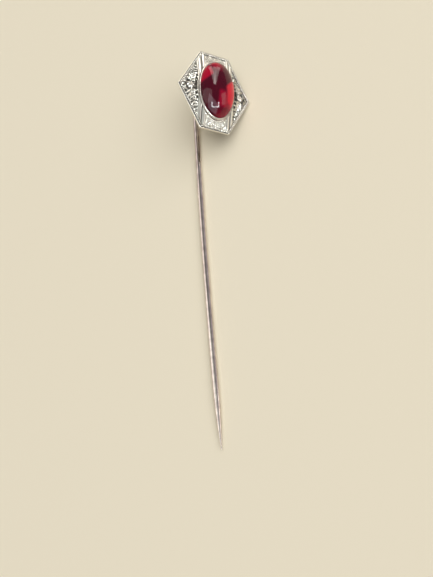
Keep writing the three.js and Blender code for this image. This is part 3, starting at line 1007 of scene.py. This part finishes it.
def red_stone():
    """Deep red stone: dark red through its middle, with a glow painted into its colour where light gathers,
    highly polished.
    """
    material, nodes, links = new_material("red_stone")
    shader = nodes["Principled BSDF"]
    shader.inputs["Transmission Weight"].default_value = 0.3
    shader.inputs["IOR"].default_value = 1.5
    shader.inputs["Specular IOR Level"].default_value = 0.3
    painted_glow = nodes.new("ShaderNodeAttribute")
    painted_glow.attribute_name = "painted_glow"
    silk = add_noise(nodes, links, 700, 3)
    # the colour follows silk noise and the painted glow, which stands in for light gathered in the stone
    silk_and_painted_glow = add_scaled(nodes, links, silk, 0.12, painted_glow.outputs["Fac"])
    stops = [(0.06, DARK_RED), (0.35, MIDDLE_RED), (1.0, PAINTED_GLOW_RED)]
    links.new(ramp(nodes, links, silk_and_painted_glow, stops), shader.inputs["Base Color"])
    links.new(map_range(nodes, links, silk, 0.3, 0.7, 0.02, 0.05), shader.inputs["Roughness"])
    return material


# ---- camera and floor ----
# the camera in the head's frame: its place in millimetres, and its right and upward directions
CAMERA_IN_HEAD = Vector((-60.5, -74.0, 105.9))
CAMERA_RIGHT = Vector((0.8698, -0.0094, 0.4932))
CAMERA_UP = Vector((-0.1488, 0.9482, 0.2805))
LENS = 54.1   # focal length in millimetres
FLOOR_REACH = 6.0   # metres from the middle to each side
FLOOR_COLOUR = (0.88, 0.8, 0.62)


def add_camera():
    """The photo's viewpoint: out in front of the head, to its left and towards the stem's point."""
    data = bpy.data.cameras.new("camera")
    data.lens = LENS
    data.clip_start = 0.005
    data.clip_end = 10
    camera = bpy.data.objects.new("camera", data)
    bpy.context.scene.collection.objects.link(camera)
    right = (HEAD_TURN @ CAMERA_RIGHT).normalized()
    back = right.cross(HEAD_TURN @ CAMERA_UP).normalized()
    turn = Matrix((right, back.cross(right), back)).transposed().to_4x4()
    camera.matrix_world = Matrix.Translation(HEAD @ (CAMERA_IN_HEAD * MM)) @ turn
    bpy.context.scene.camera = camera


def add_floor():
    """The pale matt surface that the pin lies on."""
    r = FLOOR_REACH
    data = bpy.data.meshes.new("floor")
    data.from_pydata([(-r, -r, 0), (r, -r, 0), (r, r, 0), (-r, r, 0)], [], [(0, 1, 2, 3)])
    material, nodes, _ = new_material("pale_floor")
    shader = nodes["Principled BSDF"]
    shader.inputs["Base Color"].default_value = (*FLOOR_COLOUR, 1)
    shader.inputs["Roughness"].default_value = 0.95
    shader.inputs["Specular IOR Level"].default_value = 0.15
    data.materials.append(material)
    floor = bpy.data.objects.new("floor", data)
    bpy.context.scene.collection.objects.link(floor)


# ---- lights, in metres; where a place is a pair, it is the spot of the stone that mirrors it ----
LIGHT_DISTANCE = 0.3
WARM = (1.0, 0.95, 0.88)
COOL = (0.9, 0.97, 1.0)
WHITE = (1.0, 1.0, 1.0)

# a small bright window frame with three bars
WINDOW_CORNERS = [(-1.6, -3.18), (-1.44, -3.82), (-0.48, -3.8), (-0.66, -3.12)]
WINDOW_BARS = [0.034, 0.022, 0.034]
WINDOW_BRIGHTNESS = 24

# three strips that spread upwards from one foot
FAN_FOOT = (-1.45, -0.3)
FAN_TOPS = [(-1.85, 3.2), (-1.2, 3.2), (-0.55, 3.2)]
FAN_WIDTH = 0.06
FAN_BRIGHTNESS = 2.9

# cards that only the stone mirrors: name, start, end, width, brightness, colour
STONE_CARDS = [
    ("stone_card_left", (-2.55, -0.9), (-2.0, -3.2), 0.47, 1.25, (1.0, 0.94, 0.9)),
    ("stone_card_low", (-2.1, -3.0), (-0.55, -4.38), 0.36, 2.1, (1.0, 0.85, 0.97)),
]

# cards that only the stem mirrors: name, angle up from +X in degrees, width, brightness, colour
STEM_CARDS = [
    ("stem_card_left", 140, 0.17, 0.95, (1.0, 0.9, 0.86)),
    ("stem_card_right", 33, 0.22, 0.26, (0.97, 0.86, 0.93)),
]
STEM_CARD_LENGTH = 0.26

# a low strip beside the stem
LOW_START = Vector((-0.3, -0.12, 0.06))
LOW_END = Vector((-0.3, 0.2, 0.06))

# the ceiling lights only matt surfaces
CEILING_PLACE = Vector((0.5, 0.2, 1.2))
CEILING_WIDTH = 2.4
CEILING_BRIGHTNESS = 1.4

# what the polished metal mirrors between the lights, and what is seen past the floor's edge
ROOM_COLOUR = (0.97, 0.95, 0.95)
ROOM_BRIGHTNESS = 0.24
BACKDROP = (0.72, 0.67, 0.55)


def mirrored(x, y):
    """Where something stands that the camera sees reflected at this spot of the stone's dome."""
    girdle = STONE_BASE + STONE_GIRDLE
    z = girdle + STONE_DOME * math.sqrt(1 - (x / STONE_A) ** 2 - (y / STONE_B) ** 2)
    spot = Vector((x, y, z))
    normal = Vector((x / STONE_A ** 2, y / STONE_B ** 2, (z - girdle) / STONE_DOME ** 2)).normalized()
    view = (CAMERA_IN_HEAD - spot).normalized()
    bounce = 2 * normal.dot(view) * normal - view
    return HEAD @ (spot * MM) + LIGHT_DISTANCE * (HEAD_TURN @ bounce)


def add_panel(name, start, end, width, brightness, colour, for_polish=True):
    """A soft box from start to end, facing the head; it lights either polished or matt surfaces."""
    centre = (start + end) / 2
    forward = (HEAD_CENTRE - centre).normalized()
    along = end - start
    along = (along - along.dot(forward) * forward).normalized()
    across = (-forward).cross(along)
    data = bpy.data.lights.new(name, "AREA")
    data.shape = "RECTANGLE"
    data.size = (end - start).length
    data.size_y = width
    data.energy = brightness * math.pi * data.size * width
    data.color = colour
    light = bpy.data.objects.new(name, data)
    turn = Matrix((along, across, -forward)).transposed().to_4x4()
    light.matrix_world = Matrix.Translation(centre) @ turn
    light.visible_glossy = for_polish
    light.visible_transmission = for_polish
    light.visible_diffuse = not for_polish
    bpy.context.scene.collection.objects.link(light)
    return light


def link_light(light, piece, state):
    """Keeps a light off one piece ("EXCLUDE"), or keeps it off all the others ("INCLUDE")."""
    linked = bpy.data.collections.new(light.name + "_linked")
    linked.objects.link(piece)
    linked.collection_objects[0].light_linking.link_state = state
    light.light_linking.receiver_collection = linked


def add_window():
    """The U-shaped highlight low on the stone."""
    corners = [mirrored(*spot) for spot in WINDOW_CORNERS]
    for i, (start, end) in enumerate(zip(corners, corners[1:])):
        add_panel("window_" + str(i), start, end, WINDOW_BARS[i], WINDOW_BRIGHTNESS, COOL)


def add_fan(stem_piece):
    """The V of pale streaks on the stone, kept off the stem."""
    for i, top in enumerate(FAN_TOPS):
        name = "fan_" + str(i)
        strip = add_panel(name, mirrored(*top), mirrored(*FAN_FOOT), FAN_WIDTH, FAN_BRIGHTNESS, WARM)
        link_light(strip, stem_piece, "EXCLUDE")


def add_cards(stone_piece, stem_piece):
    """Soft reflections that only the stone or only the stem shows."""
    for name, start, end, width, brightness, colour in STONE_CARDS:
        card = add_panel(name, mirrored(*start), mirrored(*end), width, brightness, colour)
        link_light(card, stone_piece, "INCLUDE")
    for name, angle, width, brightness, colour in STEM_CARDS:
        t = math.radians(angle)
        start = LIGHT_DISTANCE * Vector((math.cos(t), 0, math.sin(t)))
        end = start + Vector((0, STEM_CARD_LENGTH, 0))
        card = add_panel(name, start, end, width, brightness, colour)
        link_light(card, stem_piece, "INCLUDE")


def add_lights(stone_piece, stem_piece):
    """Every light: the stone's reflections, the metal's panels and the ceiling."""
    add_window()
    add_fan(stem_piece)
    left = add_panel("left", mirrored(-2.55, -0.9), mirrored(-2.0, -3.2), 0.55, 0.6, (0.92, 1.0, 0.94))
    link_light(left, stone_piece, "EXCLUDE")
    add_panel("right", mirrored(0.0, -1.6), mirrored(0.25, -3.4), 0.12, 1.7, WARM)
    add_panel("low", LOW_START, LOW_END, 0.12, 1.0, WARM)
    add_cards(stone_piece, stem_piece)
    reach = Vector((CEILING_WIDTH / 2, 0, 0))
    start, end = CEILING_PLACE - reach, CEILING_PLACE + reach
    add_panel("ceiling", start, end, CEILING_WIDTH, CEILING_BRIGHTNESS, WHITE, for_polish=False)


def add_world():
    """A dim room for the polished metal to mirror, in front of a pale backdrop."""
    world = bpy.data.worlds.new("world")
    world.use_nodes = True
    nodes, links = world.node_tree.nodes, world.node_tree.links
    room = nodes["Background"]
    room.inputs["Color"].default_value = (*ROOM_COLOUR, 1)
    room.inputs["Strength"].default_value = ROOM_BRIGHTNESS
    backdrop = nodes.new("ShaderNodeBackground")
    backdrop.inputs["Color"].default_value = (*BACKDROP, 1)
    path = nodes.new("ShaderNodeLightPath")
    seen = nodes.new("ShaderNodeMixShader")
    links.new(path.outputs["Is Camera Ray"], seen.inputs["Fac"])
    links.new(room.outputs["Background"], seen.inputs[1])
    links.new(backdrop.outputs["Background"], seen.inputs[2])
    links.new(seen.outputs["Shader"], nodes["World Output"].inputs["Surface"])
    bpy.context.scene.world = world


# ---- the pin: each metal's bright, middle and dark colours, roughness, grain scale and depth ----
SILVER = (0.78, 0.75, 0.69)
STRUCK = ((0.53, 0.505, 0.455), (0.065, 0.06, 0.052), 0.21, 4200, 0.03)
BEADS = ((0.5, 0.48, 0.44), (0.05, 0.047, 0.043), 0.16, 6000, 0.004)
BANDS = ((0.55, 0.53, 0.49), (0.13, 0.124, 0.112), 0.28, 5000, 0.008)
BEZEL = ((0.8, 0.73, 0.68), (0.52, 0.47, 0.44), (0.08, 0.07, 0.066), 0.2, 4000, 0.004)

front_plate(tarnished_metal("struck_white_metal", SILVER, *STRUCK))
milgrain(tarnished_metal("bead_metal", SILVER, *BEADS))
band_metal = tarnished_metal("band_metal", SILVER, *BANDS)
for band_side, side_name in ((-1, "left"), (1, "right")):
    for band_up, up_name in ((1, "upper"), (-1, "lower")):
        band(band_side, band_up, "band_" + up_name + "_" + side_name, band_metal)
bezel(tarnished_metal("bezel_metal", *BEZEL))
stone_seat(white_metal("seat_metal", (0.6, 0.6, 0.58), (0.4, 0.4, 0.39), 0.4, 5000))
stone = cabochon(red_stone())
back_disc(white_metal("back_metal", (0.78, 0.77, 0.74), (0.56, 0.55, 0.53), 0.28, 5000, (1, 0.2, 1)))
stem_socket(white_metal("solder_metal", (0.72, 0.71, 0.68), (0.5, 0.5, 0.48), 0.35, 4000))
stem_metal = white_metal("stem_metal", (0.76, 0.68, 0.63), (0.57, 0.49, 0.46), 0.14, 7000, (1, 0.03, 1))
pin_stem = stem(stem_metal)

add_floor()
add_camera()
add_lights(stone, pin_stem)
add_world()
bpy.context.scene.view_settings.view_transform = "Standard"
